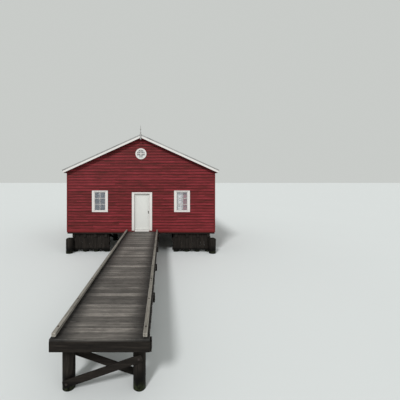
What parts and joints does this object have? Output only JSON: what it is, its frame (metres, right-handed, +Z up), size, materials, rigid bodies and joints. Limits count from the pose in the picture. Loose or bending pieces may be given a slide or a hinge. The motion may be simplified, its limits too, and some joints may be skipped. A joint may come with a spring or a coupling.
{
  "type": "boathouse",
  "caption": "Gabled timber boathouse on piles, with lapped boards, a hinged entrance door, casement-style windows and a long boarded jetty with kerbs.",
  "frame": {"origin": "middle of the footprint of house and jetty together, at water level, where the pile feet end", "axes": "+X to the right of someone who faces the door, +Y from the jetty into the house, +Z up"},
  "size_m": [8.6326, 20.6789, 7.0939],
  "materials": {
    "weathered_timber": "dark, water-stained round and sawn timber",
    "deck_timber": "weathered grey-brown sawn boards",
    "inside_timber": "bare sawn timber",
    "red_boards": "dark red paint, slightly streaked",
    "white_trim": "off-white satin paint",
    "white_door": "off-white satin paint",
    "clear_glass": "clear",
    "roof_metal": "weathered light grey sheet",
    "dark_iron": "dark, dull",
    "curtain_cloth": "plain woven cotton",
    "curtain_pole": "satin paint"
  },
  "bodies": {
    "house": {"house_piles": "weathered_timber", "corner_fender_piles": "weathered_timber", "pile_braces": "weathered_timber", "front_screens": "weathered_timber", "floor_bearers": "weathered_timber", "floor_joists": "inside_timber", "floor_boards": "inside_timber", "front_wall_left": "red_boards", "front_wall_right": "red_boards", "front_wall_over_door": "red_boards", "front_gable": "red_boards", "rear_wall": "red_boards", "left_wall": "red_boards", "right_wall": "red_boards", "wall_base_boards": "red_boards", "corner_boards": "red_boards", "window_casings": "white_trim", "window_sashes": "white_trim", "window_glass": "clear_glass", "round_window_frames": "white_trim", "round_window_glass": "clear_glass", "door_jambs": "white_trim", "door_head": "white_trim", "door_sill": "white_trim", "door_hinge_pins": "dark_iron", "curtain_rod": "curtain_pole", "window_curtains": "curtain_cloth", "ridge_beam": "inside_timber", "rafters": "inside_timber", "eaves_blocks": "red_boards", "collar_ties": "inside_timber", "roof_battens": "inside_timber", "roof_sheet_left": "roof_metal", "roof_sheet_right": "roof_metal", "ridge_cap": "roof_metal", "barge_boards": "white_trim", "barge_flashings": "roof_metal", "finials": "white_trim", "eaves_fascias": "white_trim", "jetty_piles": "weathered_timber", "jetty_cap_beams": "weathered_timber", "jetty_stringers": "weathered_timber", "jetty_deck": "deck_timber", "jetty_kerbs": "deck_timber", "jetty_kerb_blocks": "weathered_timber", "jetty_braces": "weathered_timber", "jetty_end_board": "weathered_timber"},
    "front_door": {"door_leaf": "white_door", "door_knobs": "dark_iron", "door_hinge_knuckles": "dark_iron"}
  },
  "joints": [
    {"name": "front_door_hinge", "type": "hinge", "parent": "house", "child": "front_door", "pos_m": [-0.3565, 0.5415, 2.29], "axis": [0, 0, 1], "range_deg": [0, 100]}
  ]
}
